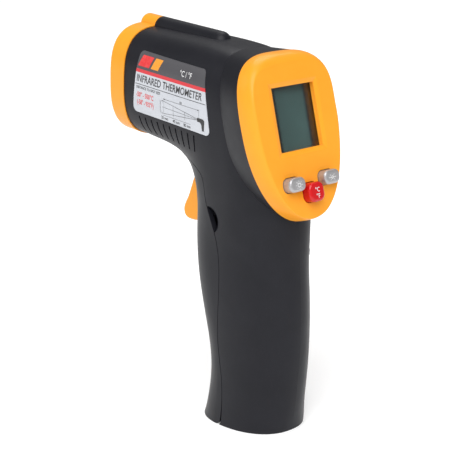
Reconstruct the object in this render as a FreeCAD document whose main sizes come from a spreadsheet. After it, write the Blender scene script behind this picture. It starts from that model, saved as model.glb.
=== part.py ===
# Pistol-grip infrared thermometer, in millimetres.
#
# The pieces are drawn in the drawing frame: the barrel lies along X with its
# nose towards -X, Y = 0 is the plane in which the case halves meet, and Z is
# up. STANCE then stands the whole object on its flat base, with the origin
# in the middle of that base.
import FreeCAD, Part
import math
import os

from FreeCAD import Placement, Rotation, Vector

doc = FreeCAD.newDocument("infrared_thermometer")

# ---------------------------------------------------------------- dimensions
SIZES = {
    # case
    "wall": 2.2, "seam_gap": 0.25, "mid_gap": 0.02,
    "nose_seam": -52.0, "nose_front": -62.0, "nose_round": 1.6,
    "hump_radius": 4.2, "hump_height": 135.4, "hump_end": -15.0,
    "base_tilt": 6.3, "base_mid_x": 13.5, "base_mid_z": -15.5,
    # rear face: tilted plane that carries the display
    "face_x": 30.0, "face_z": 115.0, "face_tilt": 17.8,
    "flare_depth": 21.0, "flare_width": 22.5,
    "bezel_depth": 7.0, "bezel_wall": 2.4, "crest_width": 20.0,
    "screen_width": 21.3, "screen_height": 24.0,
    # display stack
    "window_thick": 1.2, "window_margin": 1.6,
    "glass_thick": 2.0, "light_thick": 5.2, "zebra_width": 2.2,
    "board_thick": 1.6, "board_face": -10.8,
    # push buttons
    "button_proud": 3.9, "button_fit": 0.25, "button_flange": 0.9,
    "grey_offset": 8.9, "grey_height": -24.1,
    "grey_long": 8.0, "grey_short": 5.4, "red_height": -28.3,
    "red_long": 7.6, "red_short": 7.4, "button_round": 1.1,
    "switch_side": 6.0, "switch_tall": 3.5,
    # vents
    "vent_first": -43.1, "vent_pitch": 3.93, "vent_width": 0.8,
    "vent_low": 95.4, "vent_high": 102.2,
    # trigger
    "pivot_x": -14.5, "pivot_z": 88.5, "trigger_half": 5.0,
    "pin_radius": 1.25, "pin_fit": 0.05, "cheek_inner": 7.6, "cheek_thick": 1.6,
    "spring_radius": 3.1, "spring_wire": 0.35, "spring_turns": 3.0,
    # battery door
    "hinge_x": 8.2, "hinge_z": -12.6, "hinge_radius": 3.5, "hinge_gap": 0.7,
    "hinge_pin": 1.0, "lug_half": 3.4, "knuckle_far": 9.0,
    "slot_half": 6.0, "slot_low": 57.2, "slot_high": 88.2,
    "notch_radius": 6.5, "notch_x": 1.6, "notch_y": 21.0, "notch_z": 70.0,
    # battery
    "cell_thick": 17.5, "cell_wide": 26.5, "cell_tall": 46.4,
    "cell_x": 3.6, "cell_z": -2.0, "cell_round": 2.5, "bay_wall": 1.5,
    # infrared sensor and laser
    "optic_z": 112.5, "tube_radius": 12.0, "tube_bore": 10.4,
    "lens_radius": 9.6, "mouth_radius": 15.5,
    "laser_z": 132.4, "laser_radius": 3.2, "laser_length": 14.0,
    "screw_radius": 1.4,
}

sheet = doc.addObject("Spreadsheet::Sheet", "dimensions")
for row, (name, value) in enumerate(SIZES.items(), start=1):
    sheet.set(f"A{row}", name)
    sheet.set(f"B{row}", str(value))
    sheet.setAlias(f"B{row}", name)
doc.recompute()


def mm(name):
    """Value of a driving dimension, as the sheet holds it."""
    return float(sheet.get(name))


def bind(thing, **sizes):
    """Bind properties of an object to expressions over the sheet's aliases."""
    for prop, expression in sizes.items():
        text = expression
        for alias in sorted(SIZES, key=len, reverse=True):
            text = text.replace("@" + alias, "dimensions." + alias)
        thing.setExpression(prop, text)
    return thing


# -------------------------------------------------------------------- frames
def about_y(angle):
    return Rotation(Vector(0, 1, 0), angle)


base_middle = Vector(mm("base_mid_x"), 0, mm("base_mid_z"))
stand_up = about_y(mm("base_tilt"))
STANCE = Placement(stand_up.multVec(-base_middle), stand_up)
FACE = Placement(Vector(mm("face_x"), 0, mm("face_z")), about_y(-mm("face_tilt")))
BASE = Placement(base_middle, about_y(-mm("base_tilt")))
ON_FACE = STANCE * FACE
PLAIN = Placement()

pieces = []


def finish(thing, label, place=STANCE):
    """Name a finished piece and stand it in the object's own frame."""
    thing.Label = label
    thing.Placement = place
    pieces.append(thing)
    return thing


# ------------------------------------------------------------- small helpers
def box(name, corner, frame=PLAIN, **sizes):
    solid = doc.addObject("Part::Box", name)
    solid.Placement = frame * Placement(Vector(*corner), Rotation())
    return bind(solid, **sizes)


def cylinder(name, start, direction, frame=PLAIN, **sizes):
    solid = doc.addObject("Part::Cylinder", name)
    turn = Rotation(Vector(0, 0, 1), Vector(*direction))
    solid.Placement = frame * Placement(Vector(*start), turn)
    return bind(solid, **sizes)


def cut(name, base, tool):
    result = doc.addObject("Part::Cut", name)
    result.Base = base
    result.Tool = tool
    return result


def cut_each(name, base, tools):
    """Cut the tools away one after another."""
    for number, tool in enumerate(tools):
        base = cut(f"{name}_{number}", base, tool)
    return base


def fuse(name, shapes):
    result = doc.addObject("Part::MultiFuse", name)
    result.Shapes = shapes
    return result


def common(name, first, second):
    result = doc.addObject("Part::Common", name)
    result.Base = first
    result.Tool = second
    return result


def free_form(name, shape):
    feature = doc.addObject("Part::Feature", name)
    feature.Shape = shape
    return feature


def body(name):
    return doc.addObject("PartDesign::Body", name + "_body")


def sketch_on(owner, plane_role, name):
    plane = next(item for item in owner.Origin.OriginFeatures if item.Role == plane_role)
    drawing = owner.newObject("Sketcher::SketchObject", name)
    drawing.AttachmentSupport = (plane, [""])
    drawing.MapMode = "FlatFace"
    return drawing


def draw_polygon(drawing, points):
    for first, second in zip(points, points[1:] + points[:1]):
        drawing.addGeometry(Part.LineSegment(Vector(*first, 0), Vector(*second, 0)), False)


def draw_slot(drawing, middle, long_side, short_side, corner):
    """Rectangle with round corners."""
    across, up = middle
    right = long_side / 2 - corner
    top = short_side / 2 - corner
    corners = [(right, top, 0), (-right, top, 90), (-right, -top, 180), (right, -top, 270)]
    ends = []
    for dx, dy, start in corners:
        centre = Vector(across + dx, up + dy, 0)
        circle = Part.Circle(centre, Vector(0, 0, 1), corner)
        arc = Part.ArcOfCircle(circle, math.radians(start), math.radians(start + 90))
        drawing.addGeometry(arc, False)
        ends.append((arc.StartPoint, arc.EndPoint))
    for here, following in zip(ends, ends[1:] + ends[:1]):
        drawing.addGeometry(Part.LineSegment(here[1], following[0]), False)


def pad(owner, drawing, name, length, midplane=False, reverse=False):
    feature = owner.newObject("PartDesign::Pad", name)
    feature.Profile = drawing
    if midplane:
        feature.SideType = "Symmetric"
    feature.Reversed = reverse
    return bind(feature, Length=length)


# --------------------------------------------------------------- case skins
def egg_point(half_width, low, high, low_power, high_power, angle):
    """Point of a superellipse that is widest at height 0 and spans -low to high."""
    across, up = math.cos(angle), math.sin(angle)
    power, reach = (high_power, high) if up >= 0 else (low_power, low)
    y = math.copysign(half_width * abs(across) ** (2 / power), across)
    z = math.copysign(reach * abs(up) ** (2 / power), up)
    return Vector(0, y, z)


def closed_egg(size, frame, depth, count=24):
    """Wire of a whole superellipse, laid at a depth of a frame."""
    turns = [2 * math.pi * step / count for step in range(count)]
    points = [frame.multVec(egg_point(*size, angle) + Vector(depth, 0, 0)) for angle in turns]
    curve = Part.BSplineCurve()
    curve.interpolate(Points=points, PeriodicFlag=True)
    return Part.Wire(curve.toShape())


# Sections of the case from the nose round the throat and down the grip:
# throat point x, z; back point x, z; half width; place of the widest line
# between the two, as a fraction; roundness powers at the throat and the back.
SECTIONS = [
    (-52.0, 91.0, -52.0, 136.0, 19.5, 0.51, 2.75, 3.0),
    (-45.0, 90.9, -43.0, 136.2, 19.5, 0.51, 2.75, 3.0),
    (-37.5, 90.5, -33.0, 136.5, 19.5, 0.52, 2.75, 3.0),
    (-30.5, 89.7, -22.0, 136.8, 19.5, 0.53, 2.70, 3.0),
    (-25.0, 88.0, -11.0, 137.0, 19.5, 0.54, 2.60, 3.0),
    (-21.3, 85.6, -1.0, 136.8, 19.5, 0.56, 2.55, 3.0),
    (-18.8, 82.4, 8.5, 135.2, 19.4, 0.58, 2.50, 3.0),
    (-17.4, 78.8, 17.0, 128.5, 19.2, 0.59, 2.50, 2.9),
    (-16.5, 73.5, 25.5, 108.5, 18.7, 0.60, 2.50, 2.6),
    (-16.3, 68.0, 30.5, 89.0, 18.0, 0.56, 2.55, 2.3),
    (-16.1, 62.5, 33.9, 71.0, 17.6, 0.49, 2.60, 2.1),
    (-15.8, 55.0, 35.3, 57.0, 17.4, 0.44, 2.50, 2.0),
    (-14.2, 43.5, 36.9, 43.0, 17.4, 0.42, 2.40, 2.0),
    (-9.2, 27.0, 37.9, 27.0, 17.4, 0.40, 2.32, 2.0),
    (-4.8, 13.0, 37.8, 12.0, 17.3, 0.38, 2.25, 2.0),
    (-4.1, 2.0, 37.2, 1.0, 17.2, 0.38, 2.25, 2.0),
    (-5.5, -7.5, 36.5, -6.5, 17.2, 0.40, 2.25, 2.1),
    (-9.4, -20.0, 35.3, -17.0, 17.1, 0.43, 2.25, 2.2),
]


def half_section(section, inset, count=14):
    """Points of one side of a section, from the throat round to the back."""
    throat_x, throat_z, back_x, back_z, half_width, widest, low_power, high_power = section
    throat = Vector(throat_x, 0, throat_z)
    along = Vector(back_x, 0, back_z) - throat
    depth = along.Length
    along.normalize()
    size = (half_width - inset, widest * depth - inset, (1 - widest) * depth - inset)
    middle = throat + along * widest * depth
    points = []
    for step in range(count + 1):
        angle = math.pi * (step / count - 0.5)
        spot = egg_point(*size, low_power, high_power, angle)
        points.append(middle + Vector(0, max(spot.y, 0.0), 0) + along * spot.z)
    points[0].y = points[-1].y = 0.0
    return points


def closing_line(edge):
    return Part.makeLine(edge.valueAt(edge.FirstParameter), edge.valueAt(edge.LastParameter))


def half_skin(inset):
    """Solid of the right-hand half of the bent case, from its side surface and flat ends."""
    sections = list(SECTIONS)
    if inset:
        first = SECTIONS[0]
        overrun = first[0] - 1.0
        sections.insert(0, (overrun, first[1], overrun) + first[3:])
    surface = Part.BSplineSurface()
    surface.interpolate([half_section(section, inset) for section in sections])
    side = surface.toShape()
    flat = [edge for edge in side.Edges if edge.BoundBox.YMax < 0.01]
    ends = [edge for edge in side.Edges if edge.BoundBox.YMax >= 0.01]
    lines = [closing_line(edge) for edge in ends]
    caps = [Part.Face(Part.Wire([edge, line])) for edge, line in zip(ends, lines)]
    middle = Part.Face(Part.Wire(Part.__sortEdges__(flat + lines)))
    shell = Part.Shell([side, middle] + caps)
    shell.sewShape()
    solid = Part.Solid(shell)
    if solid.Volume < 0:
        solid.reverse()
    return solid


def both_sides(half):
    return half.fuse(half.mirror(Vector(), Vector(0, 1, 0))).removeSplitter()


def flare_rim(depth, inset):
    """Outline of the case near the display, on a plane parallel to the rear face."""
    share = max(0.0, (-depth - mm("bezel_depth")) / (mm("flare_depth") - mm("bezel_depth")))
    tilt = math.radians(mm("face_tilt"))
    top = (137.2 - mm("face_z") - depth * math.sin(tilt)) / math.cos(tilt) - 1.1 * share
    bottom = 38.9 - 6.0 * share
    half_width = mm("flare_width") - 3.6 * share ** 1.3
    middle = -2.0
    size = (half_width - inset, bottom + middle - inset, top - middle - inset, 2.05, 3.2)
    return closed_egg(size, FACE * Placement(Vector(0, 0, middle), Rotation()), depth)


def half_space(name, depth):
    """Everything below the base plane, moved up by depth."""
    reach = 120.0
    slab = doc.addObject("Part::Box", name)
    slab.Length = slab.Width = reach
    slab.Height = reach / 2
    slab.Placement = BASE * Placement(Vector(-reach / 2, -reach / 2, depth - reach / 2), Rotation())
    return slab


def case_skin(name, inset):
    """Closed body of the case, moved inwards by inset, and open fore and aft where it is inset."""
    overrun = 1.0 if inset else 0.0
    bend = free_form(name + "_bend", both_sides(half_skin(inset)))
    depths = [-mm("flare_depth"), -0.66 * mm("flare_depth"), -mm("bezel_depth") + overrun]
    rims = [flare_rim(depth, inset) for depth in depths]
    flare = free_form(name + "_flare", Part.makeLoft(rims, True, False))
    whole = fuse(name + "_whole", [bend, flare])
    return cut(name, whole, half_space(name + "_floor", inset))


outer_skin = case_skin("outer_skin", 0.0)
inner_skin = case_skin("inner_skin", mm("wall"))
hump_start = (mm("nose_seam"), 0, mm("hump_height"))
hump_bar = cylinder("hump_bar", hump_start, (1, 0, 0),
                    Radius="@hump_radius", Height="@hump_end - @nose_seam")
hump_ball = doc.addObject("Part::Sphere", "hump_ball")
hump_ball.Placement.Base = Vector(mm("hump_end"), 0, mm("hump_height"))
bind(hump_ball, Radius="@hump_radius")
skin_and_hump = fuse("skin_and_hump", [outer_skin, fuse("hump", [hump_bar, hump_ball])])
laser_bay = cylinder("laser_bay", (mm("nose_seam") - 1, 0, mm("laser_z")), (1, 0, 0),
                     Radius="@laser_radius + 0.4", Height="20")
hollow = fuse("hollow", [inner_skin, laser_bay])
case_wall = cut("case_wall", skin_and_hump, hollow)


# ------------------------------------------------------------ door outline
# Parting line between the grip shells and the battery door, from the throat
# down to the hinge; the stretch beside the thumb notch is straight.
PARTING = [
    (-27.0, 93.0), (-20.4, 91.5), (-14.0, 90.1), (-8.0, 88.6), (-4.4, 86.8), (-2.8, 83.8),
    (-2.0, 79.0), (0.0, 74.0), (5.2, 64.0), (7.2, 57.0), (8.1, 47.0), (8.2, 36.0), (8.2, 26.0),
    (9.4, 16.0), (11.2, 7.0), (12.0, 0.0),
]


def door_region(name, gap, arc_gap):
    """Everything in front of the parting line, which ends as an arc about the hinge."""
    hinge = Vector(mm("hinge_x"), 0, mm("hinge_z"))
    radius = mm("hinge_radius") + arc_gap
    line = [Vector(x + gap, 0, z + gap) for x, z in PARTING]
    arc_start = hinge + Vector(radius, 0, 0)
    below = hinge - Vector(0, 0, radius)
    arc_middle = hinge + Vector(radius, 0, -radius) * math.sqrt(0.5)
    curve = Part.BSplineCurve()
    curve.interpolate(Points=line + [arc_start])
    front, deep = -70.0, -60.0
    edges = [
        curve.toShape(),
        Part.Arc(arc_start, arc_middle, below).toShape(),
        Part.makePolygon([below, Vector(below.x, 0, deep), Vector(front, 0, deep),
                          Vector(front, 0, line[0].z - 1), line[0]]),
    ]
    outline = Part.Wire([edge for part in edges for edge in part.Edges])
    face = Part.Face(outline)
    face.translate(Vector(0, -30, 0))
    return free_form(name, face.extrude(Vector(0, 60, 0)))



def hinge_cylinder(name, half_length, radius):
    start = (mm("hinge_x"), -half_length, mm("hinge_z"))
    return cylinder(name, start, (0, 1, 0), Radius=radius, Height=f"{2 * half_length}")


def battery_door():
    """Front of the grip: skin, slot for the trigger, and two knuckles at the foot."""
    skin = common("door_skin", case_wall, door_region("door_side", 0.0, 0.0))
    slot = box("trigger_slot", (-45, -mm("slot_half"), mm("slot_low")),
               Length="35", Width="2 * @slot_half", Height="@slot_high - @slot_low")
    lug_room = box("lug_room", (0.0, -mm("lug_half") - 0.4, -22), Length="20",
                   Width="2 * @lug_half + 0.8", Height="14")
    knuckles = cut("door_knuckles", hinge_cylinder("knuckle_bar", mm("knuckle_far"), "@hinge_radius - 0.3"),
                   box("knuckle_room", (0, -mm("lug_half") - 0.4, -30), Length="20",
                       Width="2 * @lug_half + 0.8", Height="30"))
    solid = fuse("door_solid", [cut("door_cut", skin, fuse("door_rooms", [slot, lug_room])), knuckles])
    bore = hinge_cylinder("door_bore", mm("knuckle_far") + 1, "@hinge_pin + @pin_fit")
    return finish(cut("battery_door", solid, bore), "battery_door")


def thumb_notch(name, grow):
    """Scoops beside the door, one in each shell, for finger and thumb."""
    scoops = []
    for side in (-1, 1):
        scoop = doc.addObject("Part::Sphere", name)
        scoop.Placement.Base = Vector(mm("notch_x"), side * mm("notch_y"), mm("notch_z"))
        scoops.append(bind(scoop, Radius=f"@notch_radius + {grow}"))
    return scoops


def vents():
    slots = []
    for side in (-26, 12):
        for number in range(10):
            x = mm("vent_first") + number * mm("vent_pitch") - mm("vent_width") / 2
            slots.append(box("vent", (x, side, mm("vent_low")), Length="@vent_width",
                             Width="14", Height="@vent_high - @vent_low"))
    return slots


SCREWS = [(16.0, 97.0), (27.5, 59.0), (27.5, -5.0)]


def shells():
    """Left and right case halves, with screw bosses and the hinge lug at the foot."""
    opening = door_region("door_clear", mm("seam_gap"), mm("hinge_gap"))
    lug = hinge_cylinder("lug_eye", mm("lug_half"), "@hinge_radius - 0.4")
    lug_web = box("lug_web", (mm("hinge_x"), -mm("lug_half"), -14.2),
                  Length="10", Width="2 * @lug_half", Height="3.4")
    bosses = []
    for number, (x, z) in enumerate(SCREWS):
        bosses.append(cylinder(f"boss_{number}", (x, -25, z), (0, 1, 0),
                               Radius="@screw_radius + 1.6", Height="50"))
    half_wall = case_skin("half_wall", mm("wall") / 2)
    linings = thumb_notch("notch_lining", 1.8)
    inside = common("bosses_inside", fuse("bosses", bosses), half_wall)
    lined = common("linings_inside", fuse("linings", linings), half_wall)
    closed = fuse("case_lined", [case_wall, lined])
    openings = fuse("case_openings", [opening] + vents() + thumb_notch("notch_scoop", 0))
    opened = cut("case_opened", closed, openings)
    full = fuse("case_full", [opened, inside, fuse("hinge_lug", [lug, lug_web])])
    bores = [hinge_cylinder("lug_bore", mm("lug_half") + 1, "@hinge_pin")]
    for number, (x, z) in enumerate(SCREWS):
        bore = cylinder(f"screw_bore_{number}", (x, -8.6, z), (0, 1, 0),
                        Radius="@screw_radius", Height="18.6")
        head = cylinder(f"screw_head_{number}", (x, 9.0, z), (0, 1, 0),
                        Radius="@screw_radius + 1.0", Height="16")
        bores.append(fuse(f"screw_room_{number}", [bore, head]))
    side = box("left_side", (-80, -60, -60), Length="200", Width="60 - @mid_gap / 2", Height="240")
    left = common("left_half", full, side)
    right = doc.addObject("Part::Mirroring", "right_half")
    right.Source = left
    right.Normal = Vector(0, 1, 0)
    finish(cut_each("left_shell", left, bores), "left_shell")
    finish(cut_each("right_shell", right, bores), "right_shell")


# ------------------------------------------------------------ nose and bezel
def front_edges(shape, axis, value):
    """Numbers of the edges that lie wholly at one coordinate."""
    numbers = []
    for number, edge in enumerate(shape.Edges, start=1):
        spots = [getattr(edge.valueAt(edge.getParameterByLength(edge.Length * part)), axis)
                 for part in (0.0, 0.3, 0.6, 1.0)]
        if all(abs(spot - value) < 0.02 for spot in spots):
            numbers.append(number)
    return numbers


def nose_rim(x, grow):
    first = SECTIONS[0]
    height = first[3] - first[1]
    size = (first[4] + grow, first[5] * height + grow, (1 - first[5]) * height + grow) + first[6:]
    middle = Placement(Vector(0, 0, first[1] + first[5] * height), Rotation())
    return closed_egg(size, middle, x)


def turned_room(profile, height):
    """Solid of revolution about an axis along X at a height, from (x, radius) points."""
    spots = [Vector(x, 0, radius) for x, radius in profile]
    solid = Part.Face(Part.makePolygon(spots + spots[:1])).revolve(Vector(), Vector(1, 0, 0), 360)
    solid.translate(Vector(0, 0, height))
    return solid


def nose_cap():
    """Ring at the front: a little larger than the barrel, it holds the sensor tube and the laser."""
    front, seam, along = mm("nose_front"), mm("nose_seam"), Vector(1, 0, 0)
    block = Part.Face(nose_rim(seam, 0.4)).extrude(Vector(front - seam, 0, 0))
    ring = block.makeFillet(mm("nose_round"), [block.Edges[n - 1] for n in front_edges(block, "x", front)])
    brow = Part.makeCylinder(mm("hump_radius"), seam - front, Vector(front, 0, mm("hump_height")), along)
    brow = brow.makeFillet(1.2, [brow.Edges[n - 1] for n in front_edges(brow, "x", front)])
    socket, throat, wide = mm("tube_radius") + 0.05, mm("tube_bore"), mm("mouth_radius") + 0.4
    tube_room = turned_room([(front - 0.5, 0), (front - 0.5, wide), (-56.8, throat), (-56.8, socket),
                             (-50, socket), (-50, 0)], mm("optic_z"))
    laser_seat = Part.makeCylinder(mm("laser_radius") + 0.05, 12, Vector(-58, 0, mm("laser_z")), along)
    laser_hole = Part.makeCylinder(1.9, 8, Vector(front - 1, 0, mm("laser_z")), along)
    solid = ring.fuse(brow).cut(tube_room).cut(laser_seat).cut(laser_hole)
    finish(free_form("nose_cap", solid), "nose_cap")


def bezel_rims(inset, sink):
    """Outlines of the display bezel from the case seam, rounded over to the flat face."""
    steps, sweep = 4, math.radians(84)
    rims = []
    for step in range(steps + 1):
        angle = sweep * step / steps
        inward = (1 - math.cos(angle)) / (1 - math.cos(sweep))
        depth = -mm("bezel_depth") * (1 - math.sin(angle) / math.sin(sweep)) - sink
        seam = (mm("flare_width"), 36.9, 27.5, 2.05, 3.2, -2.0)
        crest = (mm("crest_width"), 40.0, 18.5, 2.2, 3.8, 2.0)
        mixed = [a + (b - a) * inward for a, b in zip(seam, crest)]
        size = [mixed[0] - inset, mixed[1] - inset, mixed[2] - inset, mixed[3], mixed[4]]
        rims.append(closed_egg(size, FACE * Placement(Vector(0, 0, mixed[5]), Rotation()), depth))
    return rims


POSTS = [(-13.6, 16.2), (13.6, 16.2), (0.0, -18.6)]


def display_bezel():
    """Rounded yellow face round the display, with its openings and three board posts."""
    outer = free_form("bezel_outer", Part.makeLoft(bezel_rims(0.0, 0.0), True, False))
    hollow_form = Part.makeLoft(bezel_rims(mm("bezel_wall"), mm("bezel_wall")), True, False)
    inner = free_form("bezel_inner", hollow_form)
    wall = cut("bezel_wall", outer, inner)
    posts = [cylinder(f"board_post_{n}", (-10.8, y, z), (1, 0, 0), FACE, Radius="1.9", Height="9.4")
             for n, (y, z) in enumerate(POSTS)]
    posted = common("bezel_posts_inside", fuse("bezel_posts", posts),
                    free_form("post_limit", post_limit()))
    solid = fuse("bezel_solid", [wall, posted])
    opening = box("screen_opening", (-9, -mm("screen_width") / 2, -mm("screen_height") / 2), FACE,
                  Length="12", Width="@screen_width", Height="@screen_height")
    holes = [button_outline(f"hole_{n}", spot, mm("button_fit"), -8.0, 12.0)
             for n, spot in enumerate(BUTTONS.values())]
    bores = [cylinder(f"post_bore_{n}", (-12, y, z), (1, 0, 0), FACE, Radius="0.9", Height="6.5")
             for n, (y, z) in enumerate(POSTS)]
    rooms = fuse("bezel_rooms", [opening, screen_dish()] + holes + bores)
    finish(cut("display_bezel", solid, rooms), "display_bezel")


def post_limit():
    """Room that the board posts may fill: the bezel's form, run on towards the board."""
    rims = bezel_rims(1.0, 0.6)
    first = flare_rim(-mm("bezel_depth"), 2.6)
    tail = first.copy()
    tail.translate(FACE.Rotation.multVec(Vector(-5, 0, 0)))
    front = Part.makeLoft(rims, True, False)
    return front.fuse(Part.makeLoft([tail, first], True, False))


def screen_dish():
    """Shallow slope that runs down to the edge of the display opening."""
    def frame_at(depth, grow):
        half_y, half_z = mm("screen_width") / 2 + grow, mm("screen_height") / 2 + grow
        corners = [(half_y, half_z), (-half_y, half_z), (-half_y, -half_z), (half_y, -half_z)]
        spots = [FACE.multVec(Vector(depth, y, z)) for y, z in corners]
        return Part.makePolygon(spots + spots[:1])
    slope = Part.makeLoft([frame_at(-0.55, -0.2), frame_at(0.05, 1.9)], True, True)
    return free_form("screen_dish", slope)


# Push buttons: middle across and up the face, long and short side, corner.
BUTTONS = {
    "light_button": (-mm("grey_offset"), mm("grey_height"), mm("grey_long"), mm("grey_short"), 2.3),
    "laser_button": (mm("grey_offset"), mm("grey_height"), mm("grey_long"), mm("grey_short"), 2.3),
    "mode_button": (0.0, mm("red_height"), mm("red_long"), mm("red_short"), 2.6),
}


def button_outline(name, spot, grow, start, length):
    """Prism with a button's outline, along the face normal."""
    across, up, long_side, short_side, corner = spot
    half_y, half_z = long_side / 2 + grow, short_side / 2 + grow
    block = box(name + "_block", (start, across - half_y, up - half_z), FACE)
    block.Length, block.Width, block.Height = length, 2 * half_y, 2 * half_z
    rounded = doc.addObject("Part::Fillet", name + "_rounded")
    doc.recompute()
    rounded.Base = block
    radius = corner + grow
    along = [n for n, edge in enumerate(block.Shape.Edges, start=1) if abs(edge.Length - length) < 1e-6]
    rounded.Edges = [(n, radius, radius) for n in along]
    return rounded


# The side buttons' flanges sit a little nearer the middle, clear of the bezel's wall.
FLANGE_SHIFT = 0.05


def push_button(label, spot):
    """Cap with a rounded rim, a flange behind the bezel and a stem down to its switch."""
    across, up, long_side, short_side, corner = spot
    owner = body(label)
    rear = -mm("bezel_wall") - 0.1 - mm("button_flange")
    cap = sketch_on(owner, "YZ_Plane", label + "_cap_outline")
    draw_slot(cap, (across, up), long_side, short_side, corner)
    pad(owner, cap, label + "_cap", f"@button_proud - ({rear})")
    flange = sketch_on(owner, "YZ_Plane", label + "_flange_outline")
    inner = across * (1 - FLANGE_SHIFT)
    lip = 1.2 - 2 * FLANGE_SHIFT * abs(across)
    draw_slot(flange, (inner, up), long_side + lip, short_side + 1.2, corner + 0.6)
    pad(owner, flange, label + "_flange", "@button_flange")
    stem = sketch_on(owner, "YZ_Plane", label + "_stem_outline")
    stem.addGeometry(Part.Circle(Vector(across, up, 0), Vector(0, 0, 1), 1.5), False)
    pad(owner, stem, label + "_stem", f"{rear} + 5.4", reverse=True)
    doc.recompute()
    tip = owner.Tip
    rounding = owner.newObject("PartDesign::Fillet", label + "_rounding")
    top = front_edges(tip.Shape, "x", mm("button_proud") - rear)
    rounding.Base = (tip, [f"Edge{n}" for n in top])
    bind(rounding, Radius="@button_round")
    finish(owner, label, ON_FACE * Placement(Vector(rear, 0, 0), Rotation()))


def tact_switch(label, spot):
    across, up = spot[:2]
    half = mm("switch_side") / 2
    case = box(label + "_case", (mm("board_face"), across - half, up - half), FACE,
               Length="@switch_tall", Width="@switch_side", Height="@switch_side")
    knob = cylinder(label + "_knob", (mm("board_face"), across, up), (1, 0, 0), FACE,
                    Radius="1.75", Height="@switch_tall + 1")
    finish(fuse(label, [case, knob]), label)


# -------------------------------------------------------------- display stack
def face_plate(label, front, thick, half_y, low, high):
    """Flat block behind the rear face, from front inwards."""
    plate = box(label, (0, 0, 0), FACE, Length=thick)
    plate.Width, plate.Height = 2 * half_y, high - low
    doc.recompute()
    corner = Vector(front - plate.Length.Value, -half_y, low)
    return finish(plate, label, ON_FACE * Placement(corner, Rotation()))


def display_stack():
    margin = mm("window_margin")
    half_y = mm("screen_width") / 2 + margin
    half_z = mm("screen_height") / 2 + margin
    front = -mm("bezel_wall")
    face_plate("display_window", front, "@window_thick", half_y, -half_z, half_z)
    front -= mm("window_thick")
    face_plate("lcd_glass", front, "@glass_thick", half_y, -half_z - 0.4, half_z + 0.4)
    front -= mm("glass_thick")
    inner = mm("screen_height") / 2 - 0.6
    face_plate("lcd_backlight", front, "@light_thick", 11.0, -inner, inner)
    ends = {"upper_zebra_strip": inner + 0.4,
            "lower_zebra_strip": -inner - 0.4 - mm("zebra_width")}
    for label, low in ends.items():
        face_plate(label, front, "@light_thick", 11.0, low, low + mm("zebra_width"))


def main_board():
    """Circuit board parallel to the rear face, tapered towards its foot."""
    owner = body("main_board")
    outline = sketch_on(owner, "YZ_Plane", "board_outline")
    right = [(16.2, 18.5), (16.2, -13.0), (11.6, -26.5), (6.4, -31.8)]
    left = [(-y, z) for y, z in reversed(right)]
    draw_polygon(outline, right + left)
    pad(owner, outline, "board_pad", "@board_thick")
    holes = sketch_on(owner, "YZ_Plane", "board_hole_outline")
    for y, z in POSTS:
        holes.addGeometry(Part.Circle(Vector(y, z, 0), Vector(0, 0, 1), 1.1), False)
    pocket = owner.newObject("PartDesign::Pocket", "board_holes")
    pocket.Profile = holes
    pocket.Type = "ThroughAll"
    pocket.Reversed = True
    rear = mm("board_face") - mm("board_thick")
    finish(owner, "main_board", ON_FACE * Placement(Vector(rear, 0, 0), Rotation()))
    screws = []
    for n, (y, z) in enumerate(POSTS):
        shank = cylinder(f"board_shank_{n}", (rear - 0.2, y, z), (1, 0, 0), FACE, Radius="0.9", Height="6")
        head = cylinder(f"board_head_{n}", (rear - 1.3, y, z), (1, 0, 0), FACE, Radius="1.8", Height="1.3")
        screws += [shank, head]
    finish(fuse("board_screws", screws), "board_screws")
    buzzer = cylinder("buzzer", (rear - 3.5, 8.0, 4.0), (1, 0, 0), FACE, Radius="6", Height="3.5")
    finish(buzzer, "buzzer", STANCE * buzzer.Placement)


# ---------------------------------------------------------------- front optics
def sensor_optics():
    owner = body("sensor_tube")
    profile = sketch_on(owner, "XZ_Plane", "tube_profile")
    outer, bore, optic = mm("tube_radius"), mm("tube_bore"), mm("optic_z")
    draw_polygon(profile, [(-56.8, bore), (-56.8, outer), (-36.0, outer), (-33.0, 8.0),
                           (-26.0, 8.0), (-26.0, 4.7), (-33.0, 4.7), (-36.5, bore - 1.6),
                           (-53.6, bore - 1.6), (-53.6, bore)])
    turn = owner.newObject("PartDesign::Revolution", "tube_turn")
    turn.Profile = profile
    turn.ReferenceAxis = (profile, ["H_Axis"])
    turn.Angle = 360
    finish(owner, "sensor_tube", STANCE * Placement(Vector(0, 0, optic), Rotation()))
    lens_ball = doc.addObject("Part::Sphere", "lens_ball")
    lens_ball.Radius = 26.0
    lens_ball.Placement.Base = Vector(-30.0, 0, optic)
    disc = cylinder("lens_disc", (-56.4, 0, optic), (1, 0, 0), Radius="@lens_radius + 0.7", Height="2.8")
    finish(common("sensor_lens", disc, lens_ball), "sensor_lens")
    can = cylinder("thermopile_can", (-32.0, 0, optic), (1, 0, 0), Radius="4.6", Height="6")
    window = cylinder("thermopile_window", (-32.6, 0, optic), (1, 0, 0), Radius="2.6", Height="1")
    finish(fuse("thermopile", [can, window]), "thermopile")
    finish(box("sensor_board", (0, 0, 0), Length="@board_thick", Width="20", Height="18"),
           "sensor_board", STANCE * Placement(Vector(-26.0, -10, optic - 9), Rotation()))


def laser():
    height = mm("laser_z")
    barrel = cylinder("laser_barrel", (-58.0, 0, height), (1, 0, 0),
                      Radius="@laser_radius", Height="@laser_length")
    well = cylinder("laser_well", (-58.5, 0, height), (1, 0, 0), Radius="1.9", Height="2")
    finish(cut("laser_module", barrel, well), "laser_module")
    lens = cylinder("laser_lens", (-57.4, 0, height), (1, 0, 0), Radius="1.9", Height="0.9")
    finish(lens, "laser_lens", STANCE * lens.Placement)


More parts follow.
